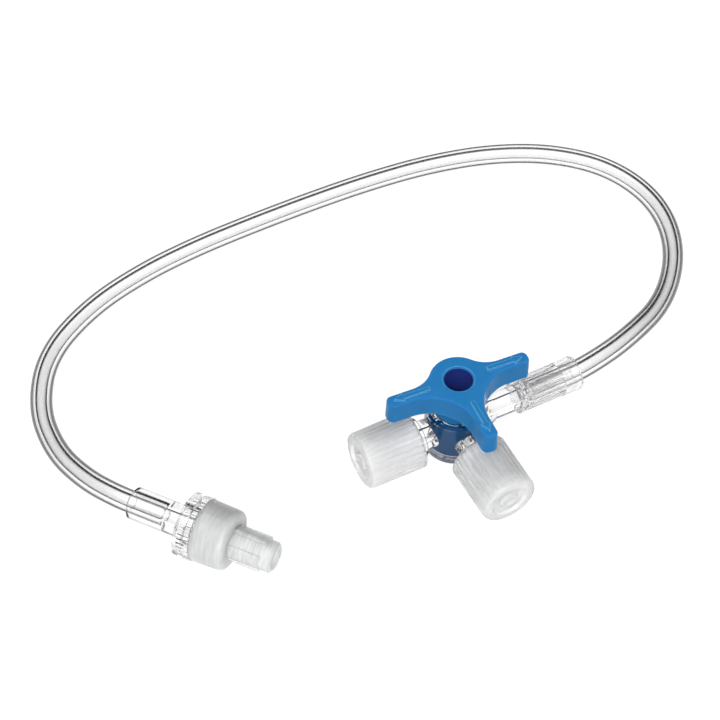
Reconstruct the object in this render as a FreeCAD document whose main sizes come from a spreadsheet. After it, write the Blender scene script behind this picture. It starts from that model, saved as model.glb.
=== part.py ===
import FreeCAD, Part

import math
import os
import re

import Sketcher

# Three way stopcock with an extension hose, in millimetres.
# The origin is on the base plane under the tap's axis, +Z is up along that axis,
# and +X runs along the two ports in line, towards the outlet and the hose.

doc = FreeCAD.newDocument("ThreeWayStopcock")

# Driving sizes: name, value and what it is
SIZES = [
    ("running_gap", 0.04, "radial room between pieces that turn or slide on each other"),
    ("bond_gap", 0.02, "radial room for the solvent between the hose and its seats"),
    ("end_gap", 0.1, "axial room at a shoulder"),
    ("cone_gap", 0.05, "radial room round a luer cone"),
    ("luer_slope", 0.03, "loss of radius along a luer taper, per unit of length"),
    ("channel_radius", 1.0, "flow channel through the body and the plug"),
    ("port_height", 5.44, "height of the three port axes over the base plane"),
    ("barrel_radius", 5.7, "outside of the barrel"),
    ("barrel_height", 10.7, "top rim of the barrel"),
    ("barrel_edge", 0.4, "chamfer of the barrel's rims"),
    ("base_thickness", 1.0, "closed floor of the barrel"),
    ("rim_depth", 0.9, "counterbore in the barrel's top that takes the tap's neck"),
    ("port_reach", 17.0, "open end of a luer port, from the tap's axis"),
    ("port_radius", 3.0, "outside of a luer port"),
    ("port_root_radius", 2.8, "outside of a port's root, at the barrel"),
    ("flange_radius", 3.7, "thin flange behind a cap"),
    ("flange_start", 7.5, "inner face of that flange, from the tap's axis"),
    ("flange_thickness", 0.6, "thickness of that flange"),
    ("lug_radius", 3.9, "outside of the two thread lugs"),
    ("lug_width", 3.6, "width of the two thread lugs"),
    ("lug_length", 1.8, "length of the thread lugs along the port"),
    ("mouth_radius", 2.15, "mouth of a female luer taper"),
    ("taper_depth", 7.5, "depth of a female luer taper"),
    ("outlet_radius", 2.425, "outside of the outlet neck"),
    ("outlet_flare", 3.3, "outside of the outlet's root, at the barrel"),
    ("outlet_flare_end", 7.6, "where the outlet's root has thinned to the neck"),
    ("outlet_reach", 15.2, "end face of the outlet neck, against the hose"),
    ("bead_radius", 2.65, "bead on the neck that keeps the collar on"),
    ("bead_start", 13.9, "inner face of the bead, from the tap's axis"),
    ("bead_length", 0.7, "length of the bead"),
    ("nipple_length", 4.0, "nipple of the neck inside the hose"),
    ("nipple_bore", 0.55, "channel radius of the nipple"),
    ("collar_start", 12.5, "front face of the swivel collar, from the tap's axis"),
    ("collar_length", 13.0, "length of the swivel collar"),
    ("collar_radius", 3.15, "outside of the collar over its ribs"),
    ("collar_ring_length", 1.6, "castellated ring at the collar's front"),
    ("collar_lip", 0.35, "plain lip at each end of the castellated ring"),
    ("collar_window_width", 0.8, "width of a gap between two blocks of the ring"),
    ("collar_window_count", 12, "gaps round the castellated ring"),
    ("collar_groove_depth", 0.22, "depth of the grooves and gaps in the collar"),
    ("collar_groove_width", 0.42, "width of a groove between two ribs"),
    ("collar_groove_count", 24, "grooves round the collar"),
    ("collar_foot_length", 3.7, "plain ring at the collar's hose end"),
    ("collar_foot_radius", 3.25, "outside of that ring"),
    ("collar_relief", 0.35, "bell mouth of the collar where the hose leaves it"),
    ("hose_radius", 2.05, "outside of the hose"),
    ("hose_bore", 1.08, "inside of the hose"),
    ("handle_bottom", 13.5, "underside of the handle"),
    ("handle_height", 4.55, "thickness of the handle"),
    ("handle_draft", 2.5, "draft of the handle's sides in degrees"),
    ("handle_edge", 0.4, "rounding of the handle's upper rim"),
    ("handle_bevel", 0.3, "chamfer of the handle's lower rim"),
    ("hub_radius", 5.4, "round back of the handle"),
    ("arm_reach", 13.85, "tip of an arm, from the tap's axis"),
    ("arm_half_width", 1.5, "half the width of an arm"),
    ("arm_tip_round", 1.2, "rounded corners of an arm's tip"),
    ("web_radius", 8.0, "hollow between the front arm and a side arm"),
    ("back_radius", 5.5, "hollow between the round back and a side arm"),
    ("arrow_start", 5.6, "inner end of the arrow ridge on an arm"),
    ("arrow_neck", 10.7, "where the arrow's head begins"),
    ("arrow_end", 12.5, "point of the arrow"),
    ("arrow_half_width", 0.42, "half the width of the arrow's shaft"),
    ("arrow_head_half_width", 0.85, "half the width of the arrow's head"),
    ("arrow_height", 0.28, "height of the arrow ridge"),
    ("recess_radius", 2.55, "mouth of the blind recess in the tap"),
    ("recess_floor_radius", 2.2, "floor of that recess"),
    ("recess_depth", 9.0, "depth of that recess"),
    ("recess_edge", 0.3, "rounding of the recess's mouth"),
    ("neck_radius", 4.5, "neck of the tap between barrel and handle"),
    ("plug_top_radius", 3.3, "plug at its top"),
    ("plug_bottom_radius", 3.15, "plug at its bottom"),
    ("snap_radius", 3.55, "snap ring round the plug"),
    ("snap_drop", 0.9, "middle of the snap ring, under the counterbore's floor"),
    ("snap_half_width", 0.3, "half the width of the snap ring"),
    ("tap_turn", -4.0, "how far the tap is turned from the ports in degrees"),
    ("cap_start", 8.7, "open end of a port cap, from the tap's axis"),
    ("cap_end_wall", 2.2, "closed end of a port cap"),
    ("cap_radius", 5.4, "outside of a cap over its ribs, at the open end"),
    ("cap_draft", 0.12, "loss of a cap's radius towards its closed end"),
    ("cap_round", 0.7, "corner of a cap's closed end, rounded off by two cuts"),
    ("cap_thread_gap", 0.15, "radial room between the lugs and a cap's bore"),
    ("cap_end_gap", 0.4, "room between a port's end and a cap's floor"),
    ("cap_cone_length", 4.6, "how far a cap's cone goes into the port"),
    ("cap_dish_depth", 0.6, "depth of the dish in a cap's end face"),
    ("cap_dish_radius", 3.5, "outside of that dish"),
    ("cap_boss_radius", 1.5, "boss in the middle of the dish"),
    ("cap_dimple_radius", 1.05, "mouth of the dimple in that boss"),
    ("cap_dimple_floor", 0.6, "radius of the dimple's floor"),
    ("cap_rim", 0.3, "plain rim at a cap's open end"),
    ("cap_groove_depth", 0.25, "depth of the grooves between a cap's ribs"),
    ("cap_groove_width", 0.52, "width of the grooves between a cap's ribs"),
    ("cap_groove_count", 32, "grooves round a cap"),
    ("connector_x", -58.84, "middle of the hose connector's mouth"),
    ("connector_y", 10.11, "middle of the hose connector's mouth"),
    ("connector_turn", -51.55, "way the connector points, from +X, in degrees"),
    ("floor_gap", 0.02, "room between the lock nut's grip and the base plane"),
    ("socket_radius", 2.9, "outside of the connector's socket"),
    ("socket_depth", 7.0, "depth of the socket that the hose goes into"),
    ("socket_chamfer", 0.3, "chamfer of the socket's mouth"),
    ("nut_start", 10.7, "back face of the lock nut, from the socket's mouth"),
    ("nut_wall", 1.2, "back wall of the lock nut"),
    ("grip_length", 3.0, "length of the lock nut's grip"),
    ("grip_rim", 0.8, "plain rim behind the ribbed band"),
    ("grip_radius", 5.775, "outside of the lock nut's grip"),
    ("grip_groove_depth", 0.25, "depth of the grooves in the ribbed band"),
    ("grip_groove_width", 0.55, "width of the grooves in the ribbed band"),
    ("grip_groove_count", 40, "grooves round the lock nut's grip"),
    ("sleeve_radius", 4.7, "outside of the lock nut's sleeve"),
    ("nut_length", 8.3, "length of the lock nut"),
    ("nut_bore", 4.0, "inside of the lock nut"),
    ("keeper_radius", 3.5, "flange of the connector that keeps the lock nut on"),
    ("keeper_length", 1.0, "thickness of that flange"),
    ("cone_tip_radius", 1.97, "tip of the male luer cone"),
    ("cone_tip", 21.8, "tip of the male luer cone, from the socket's mouth"),
    ("cone_bore", 1.0, "flow channel of the connector"),
    ("shell_radius", 5.6, "outside of the protector's shell"),
    ("shell_length", 6.1, "length of the protector's shell"),
    ("shell_round", 1.1, "rounded shoulder of the protector"),
    ("shell_draft", 0.15, "loss of the shell's radius towards its shoulder"),
    ("nose_root_radius", 2.95, "nose of the protector at its shoulder"),
    ("nose_end_radius", 2.75, "nose of the protector at its end"),
    ("nose_length", 7.95, "length of the protector's nose"),
    ("nose_edge", 0.5, "chamfer of the nose's end"),
    ("nose_bore", 1.95, "recess in the nose's end"),
    ("nose_bore_depth", 4.3, "depth of that recess"),
    ("fin_radius", 3.2, "outside of the fins along the nose"),
    ("fin_width", 0.8, "width of a fin"),
    ("fin_length", 5.9, "length of a fin"),
    ("fin_turn", 51.0, "turn of the first fin from the upright in degrees"),
    ("fin_count", 6, "fins round the nose"),
]

sheet = doc.addObject("Spreadsheet::Sheet", "Sizes")
for row, (alias, amount, words) in enumerate(SIZES, start=1):
    sheet.set(f"A{row}", alias)
    sheet.set(f"B{row}", str(amount))
    sheet.set(f"C{row}", words)
    sheet.setAlias(f"B{row}", alias)
doc.recompute()

ALIASES = {alias for alias, amount, words in SIZES}


def bound(expression):
    """The expression with each size's name pointing at its cell in the sheet."""
    def cell(match):
        word = match.group(0)
        return f"Sizes.{word}" if word in ALIASES else word

    return re.sub(r"[a-z_]+", cell, expression)


def number(expression):
    """What an expression over the sheet's sizes comes to."""
    return float(sheet.evalExpression(bound(expression)))


# Derived places that several pieces share, as expressions over the sheet
RIM_FLOOR = "(barrel_height - rim_depth)"
HANDLE_TOP = "(handle_bottom + handle_height)"
CAP_FLOOR = "(port_reach + cap_end_gap)"
CAP_END = "(port_reach + cap_end_gap + cap_end_wall)"
COLLAR_END = "(collar_start + collar_length)"
SHELL_START = "(nut_start + grip_length + end_gap)"
SHELL_END = "(nut_start + grip_length + end_gap + shell_length)"
NOSE_END = "(nut_start + grip_length + end_gap + shell_length + nose_length)"
NUT_END = "(nut_start + nut_length)"

# The snap ring's groove in the barrel, and the bore's radius at both sides of it
SNAP_HEIGHT = f"({RIM_FLOOR} - snap_drop)"
SNAP_BOTTOM = f"({SNAP_HEIGHT} - snap_half_width - end_gap / 2)"
SNAP_TOP = f"({SNAP_HEIGHT} + snap_half_width + end_gap / 2)"
BORE_LENGTH = f"({RIM_FLOOR} - base_thickness)"
PLUG_TAPER = f"((plug_top_radius - plug_bottom_radius) / {BORE_LENGTH})"
PLUG_FOOT = "(plug_bottom_radius + running_gap)"
PLUG_AT_SNAP_BOTTOM = f"({PLUG_FOOT} + {PLUG_TAPER} * ({SNAP_BOTTOM} - base_thickness))"
PLUG_AT_SNAP_TOP = f"({PLUG_FOOT} + {PLUG_TAPER} * ({SNAP_TOP} - base_thickness))"


def new_body(label, turn="0", x="0", y="0", z="0"):
    """A named piece, turned about +Z by turn degrees and set down at x, y, z."""
    body = doc.addObject("PartDesign::Body", label)
    body.Label = label
    body.Placement = FreeCAD.Placement(
        FreeCAD.Vector(number(x), number(y), number(z)),
        FreeCAD.Rotation(FreeCAD.Vector(0, 0, 1), number(turn)),
    )
    for axis, expression in (("x", x), ("y", y), ("z", z)):
        body.setExpression(f"Placement.Base.{axis}", bound(expression))
    body.setExpression("Placement.Rotation.Angle", bound(turn))
    return body


def origin_feature(body, role):
    """One of the body's own origin planes or axes."""
    for feature in body.Origin.OriginFeatures:
        if feature.Role == role:
            return feature
    raise ValueError(role)


ACROSS = FreeCAD.Vector(0, 1, 0)
NORMAL = FreeCAD.Vector(0, 0, 1)


def new_sketch(body, name, plane, lift="0", rise="0", turn="0", about=ACROSS):
    """A sketch on an origin plane, lifted along its normal, raised along its own
    y direction and turned about one of its own directions."""
    sketch = body.newObject("Sketcher::SketchObject", name)
    sketch.AttachmentSupport = [(origin_feature(body, plane), "")]
    sketch.MapMode = "FlatFace"
    sketch.AttachmentOffset = FreeCAD.Placement(
        FreeCAD.Vector(0, number(rise), number(lift)),
        FreeCAD.Rotation(about, number(turn)),
    )
    sketch.setExpression("AttachmentOffset.Base.y", bound(rise))
    sketch.setExpression("AttachmentOffset.Base.z", bound(lift))
    sketch.setExpression("AttachmentOffset.Rotation.Angle", bound(turn))
    return sketch


def arc_between(start, end, radius, clockwise):
    """The shorter arc of that radius from start to end, as the sketch stores it."""
    chord = end - start
    across = FreeCAD.Vector(-chord.y, chord.x, 0)
    across.normalize()
    rise = math.sqrt(max(radius**2 - (chord.Length / 2) ** 2, 0))
    side = -1 if clockwise else 1
    centre = (start + end) * 0.5 + across * (rise * side)
    first, last = (end, start) if clockwise else (start, end)
    begin = math.atan2(first.y - centre.y, first.x - centre.x)
    finish = math.atan2(last.y - centre.y, last.x - centre.x)
    if finish < begin:
        finish += 2 * math.pi
    circle = Part.Circle(centre, FreeCAD.Vector(0, 0, 1), radius)
    return Part.ArcOfCircle(circle, begin, finish)


def bind(sketch, kind, geometry, expression):
    """Adds one dimension to a sketch and ties it to the sheet."""
    index = sketch.addConstraint(Sketcher.Constraint(kind, *geometry, number(expression)))
    sketch.setExpression(f"Constraints[{index}]", bound(expression))


def place_corner(sketch, geometry, end, x, y):
    """Ties one corner of an outline to its two coordinates."""
    for kind, expression, axis in (("DistanceX", x, -2), ("DistanceY", y, -1)):
        if expression == "0":
            sketch.addConstraint(Sketcher.Constraint("PointOnObject", geometry, end, axis))
        else:
            bind(sketch, kind, (-1, 1, geometry, end), expression)


def draw_outline(sketch, outline):
    """A closed outline. Each entry is a corner (x, y), reached by a straight line from
    the one before, or (x, y, radius, "cw" or "ccw"), reached by an arc."""
    corners = [FreeCAD.Vector(number(c[0]), number(c[1]), 0) for c in outline]
    ends = []
    for index, entry in enumerate(outline):
        start = corners[index - 1]
        end = corners[index]
        if len(entry) == 2:
            sketch.addGeometry(Part.LineSegment(start, end), False)
            ends.append((1, 2))
        else:
            clockwise = entry[3] == "cw"
            arc = arc_between(start, end, number(entry[2]), clockwise)
            sketch.addGeometry(arc, False)
            ends.append((2, 1) if clockwise else (1, 2))
    count = len(outline)
    for index, entry in enumerate(outline):
        following = (index + 1) % count
        joint = Sketcher.Constraint(
            "Coincident", index, ends[index][1], following, ends[following][0]
        )
        sketch.addConstraint(joint)
        place_corner(sketch, index, ends[index][1], entry[0], entry[1])
        if len(entry) == 4:
            bind(sketch, "Radius", (index,), entry[2])


def draw_circle(sketch, radius, x="0", y="0"):
    """A full circle."""
    centre = FreeCAD.Vector(number(x), number(y), 0)
    normal = FreeCAD.Vector(0, 0, 1)
    sketch.addGeometry(Part.Circle(centre, normal, number(radius)), False)
    place_corner(sketch, 0, 3, x, y)
    bind(sketch, "Radius", (0,), radius)


def turned(body, name, outline, kind="Revolution", rise="0", turn="0"):
    """Revolves an outline of (distance along the axis, radius) about a level axis,
    which points along +X turned by turn degrees. Groove cuts, Revolution adds."""
    sketch = new_sketch(body, f"{name}_profile", "XZ_Plane", rise=rise, turn=turn)
    draw_outline(sketch, outline)
    feature = body.newObject(f"PartDesign::{kind}", name)
    feature.Profile = sketch
    feature.ReferenceAxis = (sketch, ["H_Axis"])
    feature.Angle = 360
    return feature


def upright(body, name, outline, kind="Revolution"):
    """Revolves an outline of (radius, height) about the upright axis."""
    sketch = new_sketch(body, f"{name}_profile", "XZ_Plane")
    draw_outline(sketch, outline)
    feature = body.newObject(f"PartDesign::{kind}", name)
    feature.Profile = sketch
    feature.ReferenceAxis = (sketch, ["V_Axis"])
    feature.Angle = 360
    return feature


def extruded(body, name, sketch, length, kind="Pad", reverse=False):
    """Pad or Pocket of one sketch."""
    feature = body.newObject(f"PartDesign::{kind}", name)
    feature.Profile = sketch
    feature.Length = number(length)
    feature.setExpression("Length", bound(length))
    feature.Reversed = reverse
    return feature


def repeated(body, name, feature, axis, count, angle=360.0):
    """A feature repeated round one of the body's own axes."""
    pattern = body.newObject("PartDesign::PolarPattern", name)
    pattern.Originals = [feature]
    pattern.Axis = (origin_feature(body, axis), [""])
    pattern.Angle = angle
    pattern.Occurrences = int(number(count))
    pattern.setExpression("Occurrences", bound(count))
    body.Tip = pattern
    return pattern


def lengthwise_grooves(body, name, depth, width, radius, start, length, count):
    """Grooves cut along the X axis into the outside of a turned piece, all round.
    A groove has its width at the outside of the piece, and half of it at its floor.
    The ring of grooves is turned by half a pitch, so that a rib is at the top."""
    sketch = new_sketch(
        body, f"{name}_profile", "YZ_Plane", lift=start, turn=f"180 / {count}", about=NORMAL
    )
    half_floor = f"{width} / 4"
    half_mouth = f"{width} * 3 / 4"
    draw_outline(
        sketch,
        [
            (f"-{half_floor}", f"{radius} - {depth}"),
            (half_floor, f"{radius} - {depth}"),
            (half_mouth, f"{radius} + {depth}"),
            (f"-{half_mouth}", f"{radius} + {depth}"),
        ],
    )
    groove = extruded(body, name, sketch, length, kind="Pocket", reverse=True)
    return repeated(body, f"{name}_ring", groove, "X_Axis", count)


def make_valve_body():
    """Clear moulding: barrel, two female luer ports and the outlet neck."""
    body = new_body("valve_body")
    upright(
        body,
        "barrel",
        [
            ("0", "0"),
            ("barrel_radius - barrel_edge", "0"),
            ("barrel_radius", "barrel_edge"),
            ("barrel_radius", "barrel_height - barrel_edge"),
            ("barrel_radius - barrel_edge", "barrel_height"),
            ("0", "barrel_height"),
        ],
    )
    port_outline = [
        ("plug_top_radius", "0"),
        ("port_reach", "0"),
        ("port_reach", "port_radius"),
        ("flange_start + flange_thickness", "port_radius"),
        ("flange_start + flange_thickness", "flange_radius"),
        ("flange_start", "flange_radius"),
        ("flange_start", "port_radius"),
        ("barrel_radius", "port_root_radius"),
        ("plug_top_radius", "port_root_radius"),
    ]
    ports = (("left", "180"), ("front", "-90"))
    for side, turn in ports:
        turned(body, f"{side}_port", port_outline, rise="port_height", turn=turn)
    turned(
        body,
        "outlet",
        [
            ("plug_top_radius", "0"),
            ("outlet_reach + nipple_length", "0"),
            ("outlet_reach + nipple_length", "hose_bore - bond_gap"),
            ("outlet_reach", "hose_bore - bond_gap"),
            ("outlet_reach", "outlet_radius"),
            ("bead_start + bead_length", "outlet_radius"),
            ("bead_start + bead_length", "bead_radius"),
            ("bead_start", "bead_radius"),
            ("bead_start", "outlet_radius"),
            ("outlet_flare_end", "outlet_radius"),
            ("barrel_radius", "outlet_flare"),
            ("plug_top_radius", "outlet_flare"),
        ],
        rise="port_height",
    )
    lug_half_height = "sqrt(lug_radius * lug_radius - lug_width * lug_width / 4)"
    lug_outline = [
        ("-lug_width / 2", f"-{lug_half_height}"),
        ("lug_width / 2", f"-{lug_half_height}", "lug_radius", "ccw"),
        ("lug_width / 2", lug_half_height),
        ("-lug_width / 2", lug_half_height, "lug_radius", "ccw"),
    ]
    for side, plane, lift, reverse in (
        ("left", "YZ_Plane", "-port_reach", False),
        ("front", "XZ_Plane", "port_reach", True),
    ):
        sketch = new_sketch(body, f"{side}_lugs_profile", plane, lift=lift, rise="port_height")
        draw_outline(sketch, lug_outline)
        extruded(body, f"{side}_lugs", sketch, "lug_length", reverse=reverse)
    taper_end = "(port_reach - taper_depth)"
    for side, turn in ports:
        turned(
            body,
            f"{side}_bore",
            [
                ("0", "0"),
                ("port_reach", "0"),
                ("port_reach", "mouth_radius"),
                (taper_end, "mouth_radius - luer_slope * taper_depth"),
                (taper_end, "channel_radius"),
                ("0", "channel_radius"),
            ],
            kind="Groove",
            rise="port_height",
            turn=turn,
        )
    turned(
        body,
        "outlet_bore",
        [
            ("0", "0"),
            ("outlet_reach + nipple_length", "0"),
            ("outlet_reach + nipple_length", "nipple_bore"),
            ("bead_start", "nipple_bore"),
            ("bead_start", "channel_radius"),
            ("0", "channel_radius"),
        ],
        kind="Groove",
        rise="port_height",
    )
    upright(
        body,
        "plug_bore",
        [
            ("0", "base_thickness"),
            ("plug_bottom_radius + running_gap", "base_thickness"),
            (PLUG_AT_SNAP_BOTTOM, SNAP_BOTTOM),
            ("snap_radius + running_gap", SNAP_BOTTOM),
            ("snap_radius + running_gap", SNAP_TOP),
            (PLUG_AT_SNAP_TOP, SNAP_TOP),
            ("plug_top_radius + running_gap", RIM_FLOOR),
            ("neck_radius + running_gap", RIM_FLOOR),
            ("neck_radius + running_gap", "barrel_height"),
            ("0", "barrel_height"),
        ],
        kind="Groove",
    )
    return body


def handle_outline():
    """The three-armed handle seen from above: arms at +X, -X and -Y, round at +Y."""
    web = "(arm_half_width + web_radius)"
    rise = "(arm_half_width + back_radius)"
    reach = "(hub_radius + back_radius)"
    back = f"sqrt({reach} * {reach} - {rise} * {rise})"
    share = f"(hub_radius / {reach})"
    corner = "(arm_half_width - arm_tip_round)"
    shoulder = "(arm_reach - arm_tip_round)"
    return [
        (back, "arm_half_width"),
        (f"{back} * {share}", f"{rise} * {share}", "back_radius", "cw"),
        ("0", "hub_radius", "hub_radius", "ccw"),
        (f"-{back} * {share}", f"{rise} * {share}", "hub_radius", "ccw"),
        (f"-{back}", "arm_half_width", "back_radius", "cw"),
        (f"-{shoulder}", "arm_half_width"),
        ("-arm_reach", corner, "arm_tip_round", "ccw"),
        ("-arm_reach", f"-{corner}"),
        (f"-{shoulder}", "-arm_half_width", "arm_tip_round", "ccw"),
        (f"-{web}", "-arm_half_width"),
        ("-arm_half_width", f"-{web}", "web_radius", "cw"),
        ("-arm_half_width", f"-{shoulder}"),
        (f"-{corner}", "-arm_reach", "arm_tip_round", "ccw"),
        (corner, "-arm_reach"),
        ("arm_half_width", f"-{shoulder}", "arm_tip_round", "ccw"),
        ("arm_half_width", f"-{web}"),
        (web, "-arm_half_width", "web_radius", "cw"),
        (shoulder, "-arm_half_width"),
        ("arm_reach", f"-{corner}", "arm_tip_round", "ccw"),
        ("arm_reach", corner),
        (shoulder, "arm_half_width", "arm_tip_round", "ccw"),
    ]


def edges_at_height(feature, height):
    """Names of a feature's edges that lie wholly at one height."""
    names = []
    for index, edge in enumerate(feature.Shape.Edges, start=1):
        if abs(edge.BoundBox.ZMin - height) < 1e-4 and abs(edge.BoundBox.ZMax - height) < 1e-4:
            names.append(f"Edge{index}")
    return names


def make_tap():
    """Blue moulding: three-armed handle, neck and the plug with its T-shaped channel."""
    body = new_body("tap", turn="tap_turn")
    sketch = new_sketch(body, "handle_profile", "XY_Plane", lift="handle_bottom")
    draw_outline(sketch, handle_outline())
    handle = extruded(body, "handle", sketch, "handle_height")
    handle.TaperAngle = -number("handle_draft")
    handle.setExpression("TaperAngle", bound("-handle_draft"))
    doc.recompute()
    rounding = body.newObject("PartDesign::Fillet", "handle_rounding")
    rounding.Base = (handle, edges_at_height(handle, number(HANDLE_TOP)))
    rounding.Radius = number("handle_edge")
    rounding.setExpression("Radius", bound("handle_edge"))
    doc.recompute()
    bevel = body.newObject("PartDesign::Chamfer", "handle_bevel")
    bevel.Base = (rounding, edges_at_height(rounding, number("handle_bottom")))
    bevel.Size = number("handle_bevel")
    bevel.setExpression("Size", bound("handle_bevel"))
    neck_bottom = f"({RIM_FLOOR} + end_gap)"
    plug_bottom = "(base_thickness + end_gap)"
    snap_bottom = f"({SNAP_HEIGHT} - snap_half_width)"
    snap_top = f"({SNAP_HEIGHT} + snap_half_width)"
    foot = "plug_bottom_radius"
    upright(
        body,
        "plug",
        [
            ("0", plug_bottom),
            ("plug_bottom_radius", plug_bottom),
            (f"{foot} + {PLUG_TAPER} * ({snap_bottom} - {plug_bottom})", snap_bottom),
            ("snap_radius", snap_bottom),
            (f"{foot} + {PLUG_TAPER} * ({snap_top} - {plug_bottom})", snap_top),
            ("plug_top_radius", neck_bottom),
            ("neck_radius", neck_bottom),
            ("neck_radius", "handle_bottom + handle_edge"),
            ("0", "handle_bottom + handle_edge"),
        ],
    )
    upright(
        body,
        "recess",
        [
            ("0", f"{HANDLE_TOP} - recess_depth"),
            ("recess_floor_radius", f"{HANDLE_TOP} - recess_depth"),
            ("recess_radius", f"{HANDLE_TOP} - recess_edge"),
            ("recess_radius + recess_edge", HANDLE_TOP),
            ("0", HANDLE_TOP),
        ],
        kind="Groove",
    )
    run = new_sketch(body, "run_channel_profile", "YZ_Plane")
    draw_circle(run, "channel_radius", y="port_height")
    run_channel = extruded(body, "run_channel", run, "4 * plug_top_radius", kind="Pocket")
    run_channel.Midplane = True
    branch = new_sketch(body, "branch_channel_profile", "XZ_Plane")
    draw_circle(branch, "channel_radius", y="port_height")
    extruded(body, "branch_channel", branch, "2 * plug_top_radius", kind="Pocket", reverse=True)
    arrow = new_sketch(body, "arrow_profile", "XY_Plane", lift=f"{HANDLE_TOP} - handle_edge")
    draw_outline(
        arrow,
        [
            ("arrow_start", "-arrow_half_width"),
            ("arrow_neck", "-arrow_half_width"),
            ("arrow_neck", "-arrow_head_half_width"),
            ("arrow_end", "0"),
            ("arrow_neck", "arrow_head_half_width"),
            ("arrow_neck", "arrow_half_width"),
            ("arrow_start", "arrow_half_width"),
        ],
    )
    ridge = extruded(body, "arrow", arrow, "handle_edge + arrow_height")
    arrows = repeated(body, "arrows", ridge, "Z_Axis", "3", angle=180.0)
    arrows.Reversed = True
    return body


def make_port_cap(label, turn):
    """Ribbed screw cap: thread bore for the lugs and a cone that closes the port."""
    body = new_body(label, turn=turn, z="port_height")
    end_radius = "(cap_radius - cap_draft)"
    corner = "(cap_round * (1 - sqrt(0.5)))"
    turned(
        body,
        "shell",
        [
            ("cap_start", "0"),
            (f"{CAP_END} - cap_dish_depth", "0"),
            (f"{CAP_END} - cap_dish_depth", "cap_dimple_floor"),
            (CAP_END, "cap_dimple_radius"),
            (CAP_END, "cap_boss_radius"),
            (f"{CAP_END} - cap_dish_depth", "cap_boss_radius + cap_dish_depth / 2"),
            (f"{CAP_END} - cap_dish_depth", "cap_dish_radius - cap_dish_depth / 2"),
            (CAP_END, "cap_dish_radius"),
            (CAP_END, f"{end_radius} - cap_round"),
            (f"{CAP_END} - {corner}", f"{end_radius} - {corner}"),
            (f"{CAP_END} - cap_round", end_radius),
            ("cap_start", "cap_radius"),
        ],
    )
    cone_root = "(mouth_radius - cone_gap + luer_slope * cap_end_gap)"
    cone_tip = "(mouth_radius - cone_gap - luer_slope * cap_cone_length)"
    turned(
        body,
        "thread_bore",
        [
            ("cap_start", "0"),
            ("port_reach - cap_cone_length", "0"),
            ("port_reach - cap_cone_length", cone_tip),
            (CAP_FLOOR, cone_root),
            (CAP_FLOOR, "lug_radius + cap_thread_gap"),
            ("cap_start", "lug_radius + cap_thread_gap"),
        ],
        kind="Groove",
    )
    lengthwise_grooves(
        body,
        "rib_gap",
        "cap_groove_depth",
        "cap_groove_width",
        "cap_radius",
        "cap_start + cap_rim",
        f"{CAP_END} - cap_start - cap_rim",
        "cap_groove_count",
    )
    return body


def make_swivel_collar():
    """Ribbed collar that turns on the outlet neck, held by the neck's bead."""
    body = new_body("swivel_collar", z="port_height")
    foot_start = f"({COLLAR_END} - collar_foot_length)"
    turned(
        body,
        "collar",
        [
            ("collar_start", "outlet_radius + running_gap"),
            ("bead_start - end_gap", "outlet_radius + running_gap"),
            ("bead_start - end_gap", "bead_radius + running_gap"),
            ("bead_start + bead_length + end_gap", "bead_radius + running_gap"),
            ("bead_start + bead_length + end_gap", "outlet_radius + running_gap"),
            ("outlet_reach + end_gap", "outlet_radius + running_gap"),
            ("outlet_reach + end_gap", "hose_radius + running_gap"),
            (foot_start, "hose_radius + running_gap"),
            (COLLAR_END, "hose_radius + running_gap + collar_relief"),
            (COLLAR_END, "collar_foot_radius"),
            (foot_start, "collar_foot_radius"),
            (foot_start, "collar_radius"),
            ("collar_start", "collar_radius"),
        ],
    )
    window_length = "collar_ring_length - 2 * collar_lip"
    windows = new_sketch(
        body, "window_profile", "YZ_Plane", lift="collar_start + collar_lip"
    )
    draw_outline(
        windows,
        [
            ("-collar_window_width / 2", "collar_radius - collar_groove_depth"),
            ("collar_window_width / 2", "collar_radius - collar_groove_depth"),
            ("collar_window_width / 2", "collar_radius + collar_groove_depth"),
            ("-collar_window_width / 2", "collar_radius + collar_groove_depth"),
        ],
    )
    window = extruded(body, "window", windows, window_length, kind="Pocket", reverse=True)
    repeated(body, "windows", window, "X_Axis", "collar_window_count")
    lengthwise_grooves(
        body,
        "rib_gap",
        "collar_groove_depth",
        "collar_groove_width",
        "collar_radius",
        "collar_start + collar_ring_length",
        "collar_length - collar_ring_length - collar_foot_length",
        "collar_groove_count",
    )
    return body


def connector_body(label):
    """A piece of the hose's far end, measured from the mouth of its socket."""
    return new_body(
        label,
        turn="connector_turn",
        x="connector_x",
        y="connector_y",
        z="grip_radius + floor_gap",
    )


def make_luer_connector():
    """Clear socket that the hose is bonded into, with the male luer cone in front."""
    body = connector_body("luer_connector")
    keeper_start = "(nut_start + nut_wall + end_gap)"
    keeper_end = "(nut_start + nut_wall + end_gap + keeper_length)"
    turned(
        body,
        "connector",
        [
            ("0", "hose_radius + bond_gap + socket_chamfer"),
            ("socket_chamfer", "hose_radius + bond_gap"),
            ("socket_depth", "hose_radius + bond_gap"),
            ("socket_depth", "cone_bore"),
            ("cone_tip", "cone_bore"),
            ("cone_tip", "cone_tip_radius"),
            (keeper_end, f"cone_tip_radius + luer_slope * (cone_tip - {keeper_end})"),
            (keeper_end, "keeper_radius"),
            (keeper_start, "keeper_radius"),
            (keeper_start, "socket_radius"),
            ("socket_chamfer", "socket_radius"),
            ("0", "socket_radius - socket_chamfer"),
        ],
    )
    return body


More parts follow.
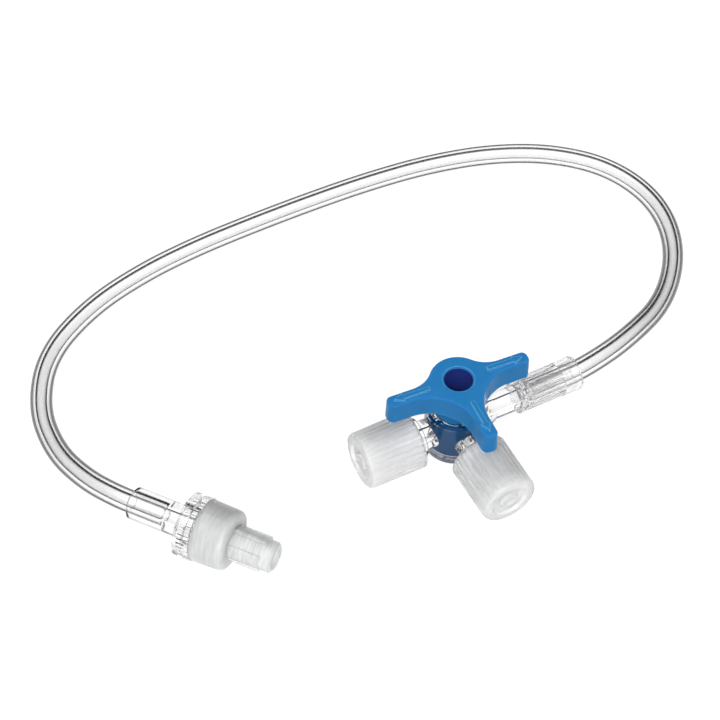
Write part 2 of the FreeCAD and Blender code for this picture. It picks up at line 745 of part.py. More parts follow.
def make_lock_nut():
    """Clear nut that turns freely on the connector: ribbed grip and threaded sleeve."""
    body = connector_body("lock_nut")
    grip_end = "(nut_start + grip_length)"
    turned(
        body,
        "nut",
        [
            ("nut_start", "socket_radius + running_gap"),
            ("nut_start + nut_wall", "socket_radius + running_gap"),
            ("nut_start + nut_wall", "nut_bore"),
            (NUT_END, "nut_bore"),
            (NUT_END, "sleeve_radius"),
            (grip_end, "sleeve_radius"),
            (grip_end, "grip_radius"),
            ("nut_start", "grip_radius"),
        ],
    )
    lengthwise_grooves(
        body,
        "grip_gap",
        "grip_groove_depth",
        "grip_groove_width",
        "grip_radius",
        "nut_start + grip_rim",
        "grip_length - grip_rim",
        "grip_groove_count",
    )
    return body


def make_luer_protector():
    """Frosted push-on protector: shell over the lock nut, finned nose over the cone."""
    body = connector_body("luer_protector")
    shell_end_radius = "(shell_radius - shell_draft)"
    cone_there = "(cone_tip_radius + cone_gap + luer_slope * (cone_tip - nut_start - nut_length))"
    turned(
        body,
        "shell",
        [
            (SHELL_START, "sleeve_radius + running_gap"),
            (f"{NUT_END} + end_gap", "sleeve_radius + running_gap"),
            (f"{NUT_END} + end_gap", cone_there),
            ("cone_tip + end_gap", "cone_tip_radius + cone_gap"),
            ("cone_tip + end_gap", "0"),
            (f"{NOSE_END} - nose_bore_depth", "0"),
            (f"{NOSE_END} - nose_bore_depth", "nose_bore"),
            (NOSE_END, "nose_bore"),
            (NOSE_END, "nose_end_radius - nose_edge"),
            (f"{NOSE_END} - nose_edge", "nose_end_radius"),
            (SHELL_END, "nose_root_radius"),
            (SHELL_END, f"{shell_end_radius} - shell_round"),
            (f"{SHELL_END} - shell_round", shell_end_radius, "shell_round", "ccw"),
            (SHELL_START, "shell_radius"),
        ],
    )
    fin_root = "(nose_bore + nose_end_radius) / 2"
    fin_sketch = new_sketch(
        body,
        "fin_profile",
        "YZ_Plane",
        lift=f"{SHELL_END} - end_gap",
        turn="fin_turn",
        about=NORMAL,
    )
    draw_outline(
        fin_sketch,
        [
            ("-fin_width / 2", fin_root),
            ("fin_width / 2", fin_root),
            ("fin_width / 2", "fin_radius"),
            ("-fin_width / 2", "fin_radius"),
        ],
    )
    fin = extruded(body, "fin", fin_sketch, "fin_length + end_gap")
    repeated(body, "fins", fin, "X_Axis", "fin_count")
    return body


# Corners of the hose's route, chosen by eye from the way it lies: out of the collar,
# down to the table, round the wide loop and up into the connector
ROUTE = [
    (21.4, 0.0, 5.44),
    (28.0, 0.15, 5.42),
    (39.0, 2.6, 5.0),
    (52.5, 8.8, 2.9),
    (63.0, 20.2, 2.2),
    (67.0, 33.0, 2.2),
    (64.0, 45.7, 2.2),
    (55.3, 55.0, 2.2),
    (43.5, 61.0, 2.2),
    (30.0, 64.2, 2.2),
    (16.5, 65.4, 2.2),
    (3.0, 65.6, 2.2),
    (-10.5, 65.3, 2.2),
    (-23.5, 64.6, 2.2),
    (-36.0, 62.8, 2.2),
    (-48.5, 59.0, 2.2),
    (-60.0, 51.5, 2.2),
    (-66.0, 40.0, 2.4),
    (-66.8, 28.5, 3.4),
    (-64.4, 19.3, 4.8),
    (-60.8, 12.6, 5.7),
    (-57.6, 8.55, 5.79),
]


# Share of the shorter run beside a corner that its bend takes up
ARC_SHARE = 0.45


def make_hose():
    """Soft tube along the route: straight runs joined by tangent arcs."""
    turn = math.radians(number("connector_turn"))
    along = FreeCAD.Vector(math.cos(turn), math.sin(turn), 0)
    mouth = FreeCAD.Vector(
        number("connector_x"), number("connector_y"), number("grip_radius + floor_gap")
    )
    points = [FreeCAD.Vector(number("outlet_reach"), 0, number("port_height"))]
    points += [FreeCAD.Vector(*corner) for corner in ROUTE]
    points.append(mouth + along * number("socket_depth"))
    edges = []
    radii = []
    last = points[0]
    for before, corner, after in zip(points, points[1:], points[2:]):
        incoming = (corner - before).normalize()
        outgoing = (after - corner).normalize()
        shorter = min((corner - before).Length, (after - corner).Length)
        cut = ARC_SHARE * shorter
        angle = incoming.getAngle(outgoing)
        radius = cut / math.tan(angle / 2)
        radii.append(round(radius, 1))
        begin = corner - incoming * cut
        finish = corner + outgoing * cut
        bisector = (outgoing - incoming).normalize()
        centre = corner + bisector * (radius / math.cos(angle / 2))
        middle = centre - bisector * radius
        edges.append(Part.LineSegment(last, begin).toShape())
        edges.append(Part.Arc(begin, middle, finish).toShape())
        last = finish
    edges.append(Part.LineSegment(last, points[-1]).toShape())
    path = Part.Wire(edges)
    start = points[0]
    heading = points[1] - points[0]
    solids = []
    for name in ("hose_radius", "hose_bore"):
        ring = Part.Wire([Part.makeCircle(number(name), start, heading)])
        solids.append(path.makePipeShell([ring], True, False))
    tube = solids[0].cut(solids[1])
    section = math.pi * (number("hose_radius") ** 2 - number("hose_bore") ** 2)
    print("hose length", round(path.Length, 2))
    print("hose bend radii", radii)
    print("hose volume over section times length", round(tube.Volume / (section * path.Length), 5))
    hose = doc.addObject("Part::Feature", "hose")
    hose.Label = "hose"
    hose.Shape = tube
    hose.Placement = FreeCAD.Placement()
    return hose


PIECES = [
    make_valve_body(),
    make_tap(),
    make_port_cap("left_port_cap", "180"),
    make_port_cap("front_port_cap", "-90"),
    make_swivel_collar(),
    make_hose(),
    make_luer_connector(),
    make_lock_nut(),
    make_luer_protector(),
]

doc.recompute()

for item in doc.Objects:
    if "Invalid" in item.State or "Error" in item.State:
        raise RuntimeError(f"{item.Name} failed: {item.State}")

os.makedirs("parts", exist_ok=True)
for piece in PIECES:
    shape = piece.Shape
    if shape.isNull() or not shape.isValid() or len(shape.Solids) != 1:
        found = f"{len(shape.Solids)} solids, valid {shape.isValid()}"
        raise RuntimeError(f"{piece.Label} is not one sound solid: {found}")
    shape.exportStep(f"parts/{piece.Label}.step")
    box = shape.BoundBox
    lowest = [round(v, 2) for v in (box.XMin, box.YMin, box.ZMin)]
    highest = [round(v, 2) for v in (box.XMax, box.YMax, box.ZMax)]
    print(piece.Label, round(shape.Volume, 2), "mm3,", len(shape.Faces), "faces,", lowest, highest)
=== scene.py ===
import math

import bpy
from mathutils import Matrix, Vector


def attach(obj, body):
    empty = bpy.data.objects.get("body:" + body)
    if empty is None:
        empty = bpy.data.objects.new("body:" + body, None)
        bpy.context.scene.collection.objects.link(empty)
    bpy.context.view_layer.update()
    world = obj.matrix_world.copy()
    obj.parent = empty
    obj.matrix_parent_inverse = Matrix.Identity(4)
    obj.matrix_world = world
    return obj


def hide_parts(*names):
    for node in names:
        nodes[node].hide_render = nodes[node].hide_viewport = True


# Three way stopcock with an extension hose, on a white table in a bright studio.
# The origin is on the table under the tap's axis. Lengths are in metres.

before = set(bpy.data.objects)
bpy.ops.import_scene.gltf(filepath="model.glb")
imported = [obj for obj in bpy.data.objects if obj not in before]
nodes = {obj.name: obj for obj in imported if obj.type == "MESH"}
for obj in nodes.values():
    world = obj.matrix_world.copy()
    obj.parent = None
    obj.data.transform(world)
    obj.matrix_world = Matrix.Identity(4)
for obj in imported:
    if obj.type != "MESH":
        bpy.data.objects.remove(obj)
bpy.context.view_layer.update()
scene = bpy.context.scene

MM = 0.001

# Camera, fitted to the photograph's viewing angle
CAMERA_AIM = Vector((-6.68 * MM, 24.76 * MM, 0.0))
CAMERA_DISTANCE = 304.16 * MM
CAMERA_AZIMUTH = math.radians(-27.55)
CAMERA_ELEVATION = math.radians(50.79)
CAMERA_ROLL = math.radians(0.39)
CAMERA_LENS = 79.08
SENSOR_WIDTH = 36.0
CLIP_START = 0.01
CLIP_END = 20.0

# Way to the middle of the soft sky, its strength, and where it turns from dark to light
LIGHT_SIDE = (-0.129, -0.247, 0.961)
SKY_STRENGTH = 2.1
SKY_DARK_TO = 0.62
SKY_LIGHT_FROM = 0.85
SKY_DARK = (0.01, 0.01, 0.012, 1.0)
SKY_LIGHT = (1.0, 1.0, 1.0, 1.0)

# Softboxes: place, edge length and power
KEY_LIGHT = ((-0.35, -0.30, 0.60), 0.15, 1.0)
FILL_LIGHT = ((-0.35, -0.80, 0.30), 0.5, 7.0)
FILLED_PIECES = ("left_port_cap", "front_port_cap", "swivel_collar", "luer_protector")

# Table: half its edge, and the shares of its white that are lit and that glow
TABLE_REACH = 4.0
TABLE_GREY = 0.2
TABLE_GLOW = 0.9

# Room round the plug that grease fills, from the tap's axis, and the top of that room, below
# which the plug gets painted shade
BORE_REACH = 3.45 * MM
PLUG_TOP = 9.8 * MM

# Top of the barrel's closed floor, seen through its wall, below which painted shade lies, and
# where that painted shade has faded out
BASE_TOP = 2.3 * MM
BASE_FADE = 1.2 * BASE_TOP

# Mouth of the recess in the tap
RECESS_RADIUS = 2.58 * MM

# Way the connector and its protector point
CONNECTOR_TURN = math.radians(-51.55)

# Colours
WHITE = (1.0, 1.0, 1.0)
# GREY, DARK and PURPLE are painted dark edge lines for the clear pieces
GREY = (0.10, 0.10, 0.12)
DARK = (0.006, 0.006, 0.007)
PURPLE = (0.16, 0.14, 0.24)
# Painted shade at the foot of the barrel
BASE_SHADE = (0.025, 0.020, 0.040)
# Painted shade in the tap's recess
RECESS_SHADE = (0.030, 0.055, 0.300)

# Range of noise values that is used
NOISE_LOW = 0.3
NOISE_HIGH = 0.7

# Noise patterns, in spots per metre, and the depth of their relief
FLOW_SCALE = 260.0
FLOW_DEPTH = 0.02 * MM
MOTTLE_SCALE = 1100.0
GRAIN_SCALE = 900.0
GRAIN_DEPTH = 0.03 * MM
STREAK_SCALE = 2600.0
STREAK_STRETCH = 7.0
CLOUD_SCALE = 180.0

# Match of the true and the rounded normal on a flat face and at an edge
FLAT_MATCH = 0.99
EDGE_MATCH = 0.85

# Refraction of the clear and of the cloudy mouldings, and of the thin-walled collar,
# which looks clearer with less
CLEAR_IOR = 1.56
CLOUDY_IOR = 1.49
COLLAR_IOR = 1.3

# Width of the painted edges, shade on the cloudy pieces and highlights on the blue tap, and
# how far light scatters
CLOUDY_EDGE = 0.12 * MM
BLUE_EDGE = 0.25 * MM
BLUE_ROUNDING = 0.2 * MM
CLOUDY_SCATTER = 4.0 * MM
BLUE_SCATTER = 1.0 * MM

# Hose: size, smoothness, and the corners of its route from the outlet to the socket
HOSE_SIDES = 64
HOSE_STEPS = 16
HOSE_RADIUS = 2.05 * MM
HOSE_BORE = 1.08 * MM
HOSE_ROUTE = [
    (0.0152, 0.0, 0.00544),
    (0.0214, 0.0, 0.00544),
    (0.0280, 0.00015, 0.00542),
    (0.0390, 0.0026, 0.0050),
    (0.0525, 0.0088, 0.0029),
    (0.0630, 0.0202, 0.0022),
    (0.0670, 0.0330, 0.0022),
    (0.0640, 0.0457, 0.0022),
    (0.0553, 0.0550, 0.0022),
    (0.0435, 0.0610, 0.0022),
    (0.0300, 0.0642, 0.0022),
    (0.0165, 0.0654, 0.0022),
    (0.0030, 0.0656, 0.0022),
    (-0.0105, 0.0653, 0.0022),
    (-0.0235, 0.0646, 0.0022),
    (-0.0360, 0.0628, 0.0022),
    (-0.0485, 0.0590, 0.0022),
    (-0.0600, 0.0515, 0.0022),
    (-0.0660, 0.0400, 0.0024),
    (-0.0668, 0.0285, 0.0034),
    (-0.0644, 0.0193, 0.0048),
    (-0.0608, 0.0126, 0.0057),
    (-0.0576, 0.00855, 0.00579),
    (-0.054487, 0.004628, 0.005795),
]


def add_camera():
    """A still camera that looks at the aim point from the photograph's side."""
    flat = math.cos(CAMERA_ELEVATION)
    back = Vector((
        math.sin(CAMERA_AZIMUTH) * flat,
        -math.cos(CAMERA_AZIMUTH) * flat,
        math.sin(CAMERA_ELEVATION),
    ))
    level = Vector((math.cos(CAMERA_AZIMUTH), math.sin(CAMERA_AZIMUTH), 0.0))
    rise = back.cross(level)
    right = math.cos(CAMERA_ROLL) * level + math.sin(CAMERA_ROLL) * rise
    up = math.cos(CAMERA_ROLL) * rise - math.sin(CAMERA_ROLL) * level
    data = bpy.data.cameras.new("camera")
    data.sensor_width = SENSOR_WIDTH
    data.lens = CAMERA_LENS
    data.clip_start = CLIP_START
    data.clip_end = CLIP_END
    camera = bpy.data.objects.new("camera", data)
    turn = Matrix((right, up, back)).transposed().to_4x4()
    camera.matrix_world = Matrix.Translation(CAMERA_AIM + back * CAMERA_DISTANCE) @ turn
    scene.collection.objects.link(camera)
    scene.camera = camera


def new_material(name):
    """An empty node material with its output node."""
    material = bpy.data.materials.new(name)
    material.use_nodes = True
    tree = material.node_tree
    tree.nodes.clear()
    output = tree.nodes.new("ShaderNodeOutputMaterial")
    return material, tree, output


def add_noise(tree, scale, detail=2.0, stretch=1.0, turn=0.0):
    """Noise over the object's own coordinates, drawn out across a turned level axis."""
    place = tree.nodes.new("ShaderNodeTexCoord")
    mapping = tree.nodes.new("ShaderNodeMapping")
    mapping.vector_type = "TEXTURE"
    mapping.inputs["Rotation"].default_value = (0.0, 0.0, turn)
    mapping.inputs["Scale"].default_value = (1.0, stretch, stretch)
    noise = tree.nodes.new("ShaderNodeTexNoise")
    noise.inputs["Scale"].default_value = scale
    noise.inputs["Detail"].default_value = detail
    tree.links.new(place.outputs["Object"], mapping.inputs["Vector"])
    tree.links.new(mapping.outputs["Vector"], noise.inputs["Vector"])
    return noise.outputs["Fac"]


def spread(tree, value, low, high):
    """A noise value spread between two numbers."""
    span = tree.nodes.new("ShaderNodeMapRange")
    span.inputs["From Min"].default_value = NOISE_LOW
    span.inputs["From Max"].default_value = NOISE_HIGH
    span.inputs["To Min"].default_value = low
    span.inputs["To Max"].default_value = high
    tree.links.new(value, span.inputs["Value"])
    return span.outputs["Result"]


def blend(tree, amount, first, second):
    """A colour between two, each of which is a colour or another node's output."""
    mix = tree.nodes.new("ShaderNodeMix")
    mix.data_type = "RGBA"
    for name, colour in (("A", first), ("B", second)):
        if isinstance(colour, tuple):
            mix.inputs[name].default_value = (*colour, 1.0)
        else:
            tree.links.new(colour, mix.inputs[name])
    tree.links.new(amount, mix.inputs["Factor"])
    return mix.outputs["Result"]


def add_bump(tree, value, strength, distance, rounding=0.0):
    """Surface relief from a noise value, over edges softened by a small rounding."""
    bump = tree.nodes.new("ShaderNodeBump")
    bump.inputs["Strength"].default_value = strength
    bump.inputs["Distance"].default_value = distance
    tree.links.new(value, bump.inputs["Height"])
    if rounding > 0.0:
        bevel = tree.nodes.new("ShaderNodeBevel")
        bevel.inputs["Radius"].default_value = rounding
        tree.links.new(bevel.outputs["Normal"], bump.inputs["Normal"])
    return bump.outputs["Normal"]


def painted_edge_mask(tree, reach):
    """How near a surface point is to an edge, from 0 on flat faces to 1; it places painted
    edge highlights and painted edge shade.
    """
    soft = tree.nodes.new("ShaderNodeBevel")
    soft.inputs["Radius"].default_value = reach
    face = tree.nodes.new("ShaderNodeNewGeometry")
    match = tree.nodes.new("ShaderNodeVectorMath")
    match.operation = "DOT_PRODUCT"
    span = tree.nodes.new("ShaderNodeMapRange")
    span.inputs["From Min"].default_value = FLAT_MATCH
    span.inputs["From Max"].default_value = EDGE_MATCH
    tree.links.new(soft.outputs["Normal"], match.inputs[0])
    tree.links.new(face.outputs["Normal"], match.inputs[1])
    tree.links.new(match.outputs["Value"], span.inputs["Value"])
    return span.outputs["Result"]


def edge_shade(tree, middle, edge, start, end):
    """Painted shade: glass colour that deepens into dark edge lines where the surface is seen
    edge on.
    """
    glance = tree.nodes.new("ShaderNodeLayerWeight")
    glance.inputs["Blend"].default_value = 0.5
    span = tree.nodes.new("ShaderNodeMapRange")
    span.inputs["From Min"].default_value = start
    span.inputs["From Max"].default_value = end
    tree.links.new(glance.outputs["Facing"], span.inputs["Value"])
    return blend(tree, span.outputs["Result"], middle, edge)


def clear_plastic(name, middle, edge, start, end, rough_high, relief, shine=WHITE):
    """Clear moulded or extruded plastic with faint flow marks and painted dark edge lines."""
    material, tree, output = new_material(name)
    shader = tree.nodes.new("ShaderNodeBsdfPrincipled")
    shade = edge_shade(tree, middle, edge, start, end)
    tree.links.new(shade, shader.inputs["Base Color"])
    shader.inputs["Transmission Weight"].default_value = 1.0
    shader.inputs["IOR"].default_value = CLEAR_IOR
    shader.inputs["Specular Tint"].default_value = (*shine, 1.0)
    flow = add_noise(tree, FLOW_SCALE, 3.0)
    tree.links.new(spread(tree, flow, 0.0, rough_high), shader.inputs["Roughness"])
    tree.links.new(add_bump(tree, flow, relief, FLOW_DEPTH), shader.inputs["Normal"])
    tree.links.new(shader.outputs["BSDF"], output.inputs["Surface"])
    return material


def near_axis(tree, place, reach):
    """1 within that distance of the upright axis, 0 beyond it."""
    level = tree.nodes.new("ShaderNodeVectorMath")
    level.operation = "MULTIPLY"
    level.inputs[1].default_value = (1.0, 1.0, 0.0)
    distance = tree.nodes.new("ShaderNodeVectorMath")
    distance.operation = "LENGTH"
    inside = tree.nodes.new("ShaderNodeMath")
    inside.operation = "LESS_THAN"
    inside.inputs[1].default_value = reach
    tree.links.new(place.outputs["Object"], level.inputs[0])
    tree.links.new(level.outputs["Vector"], distance.inputs[0])
    tree.links.new(distance.outputs["Value"], inside.inputs[0])
    return inside.outputs["Value"]


def wet_bore(material):
    """Leaves the barrel's bore unseen, where grease fills the room round the plug."""
    tree = material.node_tree
    output = tree.nodes["Material Output"]
    place = tree.nodes.new("ShaderNodeTexCoord")
    clear = tree.nodes.new("ShaderNodeBsdfTransparent")
    choice = tree.nodes.new("ShaderNodeMixShader")
    tree.links.new(near_axis(tree, place, BORE_REACH), choice.inputs["Fac"])
    tree.links.new(output.inputs["Surface"].links[0].from_socket, choice.inputs[1])
    tree.links.new(clear.outputs["BSDF"], choice.inputs[2])
    tree.links.new(choice.outputs["Shader"], output.inputs["Surface"])


def paint_base_shade(material):
    """Painted mottled shade where the barrel's wall runs into its closed floor."""
    tree = material.node_tree
    shader = tree.nodes["Principled BSDF"]
    place = tree.nodes.new("ShaderNodeTexCoord")
    split = tree.nodes.new("ShaderNodeSeparateXYZ")
    fade = tree.nodes.new("ShaderNodeMapRange")
    fade.inputs["From Min"].default_value = BASE_TOP
    fade.inputs["From Max"].default_value = BASE_FADE
    fade.inputs["To Min"].default_value = 1.0
    fade.inputs["To Max"].default_value = 0.0
    patches = spread(tree, add_noise(tree, MOTTLE_SCALE, 3.0), 0.55, 1.0)
    amount = tree.nodes.new("ShaderNodeMath")
    amount.operation = "MULTIPLY"
    tree.links.new(place.outputs["Object"], split.inputs["Vector"])
    tree.links.new(split.outputs["Z"], fade.inputs["Value"])
    tree.links.new(fade.outputs["Result"], amount.inputs[0])
    tree.links.new(patches, amount.inputs[1])
    clear = shader.inputs["Base Color"].links[0].from_socket
    shade = blend(tree, amount.outputs["Value"], clear, BASE_SHADE)
    tree.links.new(shade, shader.inputs["Base Color"])


def cloudy_plastic(
    name,
    dark,
    light,
    edge,
    clear,
    roughness,
    relief,
    rounding,
    scale=GRAIN_SCALE,
    stretch=1.0,
    turn=0.0,
    ior=CLOUDY_IOR,
):
    """Milky or frosted plastic, which scatters light, with painted shade along its edges and
    in the creases between ribs.
    """
    material, tree, output = new_material(name)
    shader = tree.nodes.new("ShaderNodeBsdfPrincipled")
    shader.inputs["Transmission Weight"].default_value = clear
    shader.inputs["IOR"].default_value = ior
    shader.inputs["Subsurface Weight"].default_value = 1.0
    shader.inputs["Subsurface Radius"].default_value = (1.0, 1.0, 1.0)
    shader.inputs["Subsurface Scale"].default_value = CLOUDY_SCATTER
    grain = add_noise(tree, scale, 3.0, stretch, turn)
    shade = blend(tree, spread(tree, grain, 0.0, 1.0), dark, light)
    # Painted shade along edges and between ribs
    drawn = blend(tree, painted_edge_mask(tree, CLOUDY_EDGE), shade, edge)
    tree.links.new(drawn, shader.inputs["Base Color"])
    tree.links.new(spread(tree, grain, *roughness), shader.inputs["Roughness"])
    bumped = add_bump(tree, grain, relief, GRAIN_DEPTH, rounding)
    tree.links.new(bumped, shader.inputs["Normal"])
    tree.links.new(shader.outputs["BSDF"], output.inputs["Surface"])
    return material


def paint_recess_shade(tree, place, shader):
    """Painted shade: the recess's walls are a deeper blue."""
    blue = shader.inputs["Base Color"].links[0].from_socket
    shade = blend(tree, near_axis(tree, place, RECESS_RADIUS), blue, RECESS_SHADE)
    tree.links.new(shade, shader.inputs["Base Color"])


def blue_plastic():
    """Glossy blue moulding with painted highlights along its edges, and painted shade on the
    plug in the barrel: a deeper blue without a shine.
    """
    material, tree, output = new_material("blue_moulding")
    cloud = add_noise(tree, CLOUD_SCALE)
    skin = add_noise(tree, GRAIN_SCALE, 3.0)
    bumped = add_bump(tree, skin, 0.1, FLOW_DEPTH, BLUE_ROUNDING)
    # Where the painted edge highlights lie
    highlight_mask = painted_edge_mask(tree, BLUE_EDGE)
    lit_and_shaded = []
    for dark, light, edge_highlight, shine in (
        ((0.020, 0.180, 0.435), (0.026, 0.214, 0.500), (0.22, 0.60, 0.95), 0.05),
        # Shaded copy: painted shade on the plug inside the barrel
        ((0.003, 0.110, 0.330), (0.005, 0.140, 0.400), (0.02, 0.20, 0.50), 0.0),
    ):
        shader = tree.nodes.new("ShaderNodeBsdfPrincipled")
        shade = blend(tree, cloud, dark, light)
        # Painted highlight along the edges
        tree.links.new(blend(tree, highlight_mask, shade, edge_highlight), shader.inputs["Base Color"])
        tree.links.new(spread(tree, skin, 0.12, 0.20), shader.inputs["Roughness"])
        tree.links.new(bumped, shader.inputs["Normal"])
        shader.inputs["Specular IOR Level"].default_value = shine
        shader.inputs["Subsurface Weight"].default_value = 0.5
        shader.inputs["Subsurface Radius"].default_value = (0.3, 0.8, 1.6)
        shader.inputs["Subsurface Scale"].default_value = BLUE_SCATTER
        lit_and_shaded.append(shader)
    place = tree.nodes.new("ShaderNodeTexCoord")
    # Painted shade in the recess
    paint_recess_shade(tree, place, lit_and_shaded[0])
    # Below the plug's top the shaded copy stands: painted shade
    split = tree.nodes.new("ShaderNodeSeparateXYZ")
    plug_shade_mask = tree.nodes.new("ShaderNodeMath")
    plug_shade_mask.operation = "LESS_THAN"
    plug_shade_mask.inputs[1].default_value = PLUG_TOP
    choice = tree.nodes.new("ShaderNodeMixShader")
    tree.links.new(place.outputs["Object"], split.inputs["Vector"])
    tree.links.new(split.outputs["Z"], plug_shade_mask.inputs[0])
    tree.links.new(plug_shade_mask.outputs["Value"], choice.inputs["Fac"])
    tree.links.new(lit_and_shaded[0].outputs["BSDF"], choice.inputs[1])
    tree.links.new(lit_and_shaded[1].outputs["BSDF"], choice.inputs[2])
    tree.links.new(choice.outputs["Shader"], output.inputs["Surface"])
    return material


def hose_line():
    """Points along the smooth line that the hose's route controls."""
    curve = bpy.data.curves.new("hose_line", "CURVE")
    curve.dimensions = "3D"
    curve.resolution_u = HOSE_STEPS
    spline = curve.splines.new("NURBS")
    spline.points.add(len(HOSE_ROUTE) - 1)
    for point, place in zip(spline.points, HOSE_ROUTE):
        point.co = (*place, 1.0)
    spline.order_u = 3
    spline.use_endpoint_u = True
    line = bpy.data.objects.new("hose_line", curve)
    scene.collection.objects.link(line)
    mesh = bpy.data.meshes.new_from_object(line)
    points = [vertex.co.copy() for vertex in mesh.vertices]
    bpy.data.objects.remove(line)
    bpy.data.meshes.remove(mesh)
    return points


def rings_along(points, radius):
    """Rings of points round a line, turned as little as the line lets them."""
    side = Vector((0.0, 1.0, 0.0))
    rings = []
    for index, point in enumerate(points):
        before = points[max(index - 1, 0)]
        after = points[min(index + 1, len(points) - 1)]
        heading = (after - before).normalized()
        side = (side - heading * side.dot(heading)).normalized()
        across = heading.cross(side)
        ring = []
        for step in range(HOSE_SIDES):
            angle = 2.0 * math.pi * step / HOSE_SIDES
            spoke = math.cos(angle) * side + math.sin(angle) * across
            ring.append(point + radius * spoke)
        rings.append(ring)
    return rings


def make_hose():
    """Soft clear tube with its bore, along the smooth line."""
    sides = HOSE_SIDES
    line = hose_line()
    verts = []
    for radius in (HOSE_RADIUS, HOSE_BORE):
        for ring in rings_along(line, radius):
            verts += ring
    rows = len(line)
    inner = rows * sides
    faces = []
    for row in range(rows - 1):
        for step in range(sides):
            near = row * sides + step
            far = row * sides + (step + 1) % sides
            wall = (near, far, far + sides, near + sides)
            faces.append(wall)
            faces.append(tuple(inner + corner for corner in reversed(wall)))
    for row, flip in ((0, False), (rows - 1, True)):
        for step in range(sides):
            near = row * sides + step
            far = row * sides + (step + 1) % sides
            cap = (near, inner + near, inner + far, far)
            faces.append(tuple(reversed(cap)) if flip else cap)
    mesh = bpy.data.meshes.new("hose_tube")
    mesh.from_pydata(verts, [], faces)
    mesh.polygons.foreach_set("use_smooth", [True] * len(mesh.polygons))
    tube = bpy.data.objects.new("hose_tube", mesh)
    scene.collection.objects.link(tube)
    mesh.materials.append(HOSE_CLEAR)
    mesh.materials.append(HOSE_BORE_SKIN)
    skins = [0, 1] * (sides * (rows - 1)) + [0] * (2 * sides)
    mesh.polygons.foreach_set("material_index", skins)
    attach(tube, "valve")
    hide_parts("hose")


def dress(node, material):
    """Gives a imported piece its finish."""
    piece = nodes[node]
    if not piece.material_slots:
        piece.data.materials.append(material)
    for slot in piece.material_slots:
        slot.material = material


def add_floor():
    """A wide white table."""
    material, tree, output = new_material("white_table")
    shader = tree.nodes.new("ShaderNodeBsdfPrincipled")
    shader.inputs["Base Color"].default_value = (*[TABLE_GREY] * 3, 1.0)
    shader.inputs["Roughness"].default_value = 0.9
    shader.inputs["Specular IOR Level"].default_value = 0.0
    shader.inputs["Emission Color"].default_value = (1.0, 1.0, 1.0, 1.0)
    shader.inputs["Emission Strength"].default_value = TABLE_GLOW
    tree.links.new(shader.outputs["BSDF"], output.inputs["Surface"])
    mesh = bpy.data.meshes.new("table_top")
    half = TABLE_REACH
    corners = [(-half, -half, 0), (half, -half, 0), (half, half, 0), (-half, half, 0)]
    mesh.from_pydata(corners, [], [(0, 1, 2, 3)])
    mesh.materials.append(material)
    floor = bpy.data.objects.new("table_top", mesh)
    scene.collection.objects.link(floor)


def add_softbox(name, place, size, power, pieces=()):
    """A square soft light that faces the tap, or one that lights only some pieces."""
    data = bpy.data.lights.new(name, "AREA")
    data.shape = "SQUARE"
    data.size = size
    data.energy = power
    lamp = bpy.data.objects.new(name, data)
    lamp.location = place
    lamp.rotation_mode = "QUATERNION"
    lamp.rotation_quaternion = (Vector((0, 0, 0)) - Vector(place)).to_track_quat("-Z", "Y")
    scene.collection.objects.link(lamp)
    if pieces:
        lit = bpy.data.collections.new(f"{name}_pieces")
        for piece in pieces:
            lit.objects.link(nodes[piece])
        lamp.light_linking.receiver_collection = lit


def light_studio():
    """A soft sky over the near side, and a dark far wall that clear edges mirror."""
    world = bpy.data.worlds.new("studio")
    scene.world = world
    world.use_nodes = True
    tree = world.node_tree
    tree.nodes.clear()
    place = tree.nodes.new("ShaderNodeTexCoord")
    facing = tree.nodes.new("ShaderNodeVectorMath")
    facing.operation = "DOT_PRODUCT"
    facing.inputs[1].default_value = LIGHT_SIDE
    ramp = tree.nodes.new("ShaderNodeValToRGB")
    ramp.color_ramp.elements[0].position = SKY_DARK_TO
    ramp.color_ramp.elements[0].color = SKY_DARK
    ramp.color_ramp.elements[1].position = SKY_LIGHT_FROM
    ramp.color_ramp.elements[1].color = SKY_LIGHT
    background = tree.nodes.new("ShaderNodeBackground")
    background.inputs["Strength"].default_value = SKY_STRENGTH
    output = tree.nodes.new("ShaderNodeOutputWorld")
    tree.links.new(place.outputs["Generated"], facing.inputs[0])
    tree.links.new(facing.outputs["Value"], ramp.inputs["Fac"])
    tree.links.new(ramp.outputs["Color"], background.inputs["Color"])
    tree.links.new(background.outputs["Background"], output.inputs["Surface"])
    add_softbox("key_light", *KEY_LIGHT)
    add_softbox("fill_light", *FILL_LIGHT, FILLED_PIECES)


scene.view_settings.view_transform = "Standard"
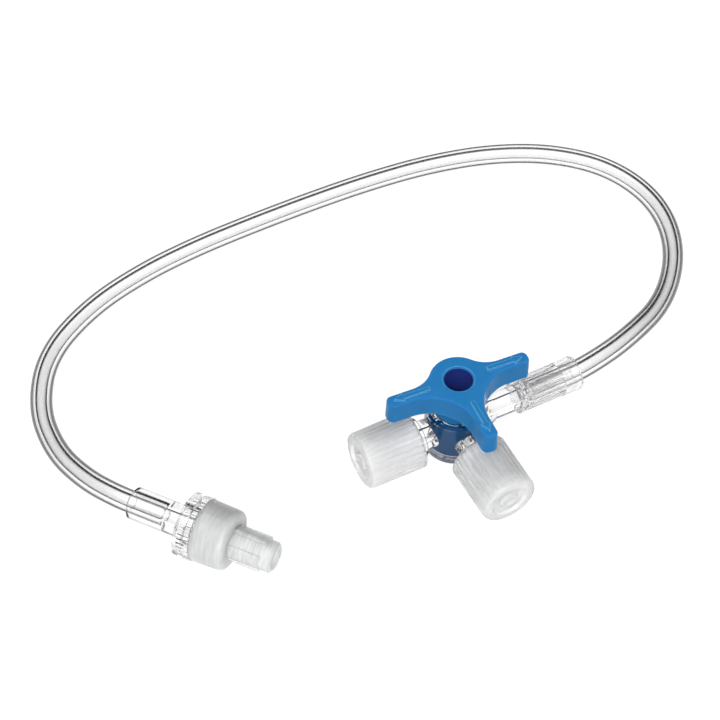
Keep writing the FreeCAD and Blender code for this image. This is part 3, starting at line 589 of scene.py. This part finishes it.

# Each clear piece's edge colour is painted shade: dark lines where it is seen edge on
BODY_CLEAR = clear_plastic(
    "body_clear",
    middle=WHITE,
    edge=PURPLE,
    start=0.45,
    end=0.85,
    rough_high=0.03,
    relief=0.12,
    shine=(0.2, 0.25, 0.4),
)
wet_bore(BODY_CLEAR)
# Painted mottled shade at the barrel's foot
paint_base_shade(BODY_CLEAR)
CLEAR = clear_plastic(
    "clear_moulding", middle=WHITE, edge=GREY, start=0.5, end=0.9, rough_high=0.03, relief=0.12
)
GRIP_CLEAR = clear_plastic(
    "grip_clear", middle=WHITE, edge=GREY, start=0.5, end=0.9, rough_high=0.12, relief=0.5
)
HOSE_CLEAR = clear_plastic(
    "hose_clear", middle=WHITE, edge=DARK, start=0.34, end=0.52, rough_high=0.01, relief=0.02
)
# The bore skin's light grey middle is painted shade as well
HOSE_BORE_SKIN = clear_plastic(
    "hose_bore_skin",
    middle=(0.94, 0.945, 0.945),
    edge=DARK,
    start=0.26,
    end=0.5,
    rough_high=0.03,
    relief=0.02,
)
# The cloudy pieces' edge colours are painted shade along edges and between ribs
RIBBED_CLEAR = cloudy_plastic(
    "ribbed_clear",
    dark=(0.96, 0.96, 0.96),
    light=WHITE,
    edge=(0.74, 0.74, 0.76),
    clear=0.9,
    roughness=(0.04, 0.10),
    relief=0.3,
    rounding=0.06 * MM,
    ior=COLLAR_IOR,
)
MILKY = cloudy_plastic(
    "milky_moulding",
    dark=(0.90, 0.91, 0.91),
    light=(0.99, 0.99, 0.99),
    edge=(0.86, 0.87, 0.87),
    clear=0.6,
    roughness=(0.14, 0.26),
    relief=0.5,
    rounding=0.2 * MM,
)
FROSTED = cloudy_plastic(
    "frosted_moulding",
    dark=(0.60, 0.61, 0.61),
    light=(0.82, 0.83, 0.83),
    edge=(0.46, 0.47, 0.48),
    clear=0.4,
    roughness=(0.31, 0.36),
    relief=0.0,
    rounding=0.1 * MM,
    scale=STREAK_SCALE,
    stretch=STREAK_STRETCH,
    turn=CONNECTOR_TURN,
)
BLUE = blue_plastic()

FINISHES = {
    "valve_body": BODY_CLEAR,
    "swivel_collar": RIBBED_CLEAR,
    "luer_connector": CLEAR,
    "lock_nut": GRIP_CLEAR,
    "tap": BLUE,
    "left_port_cap": MILKY,
    "front_port_cap": MILKY,
    "luer_protector": FROSTED,
}
for node, material in FINISHES.items():
    dress(node, material)

make_hose()
add_floor()
light_studio()
add_camera()
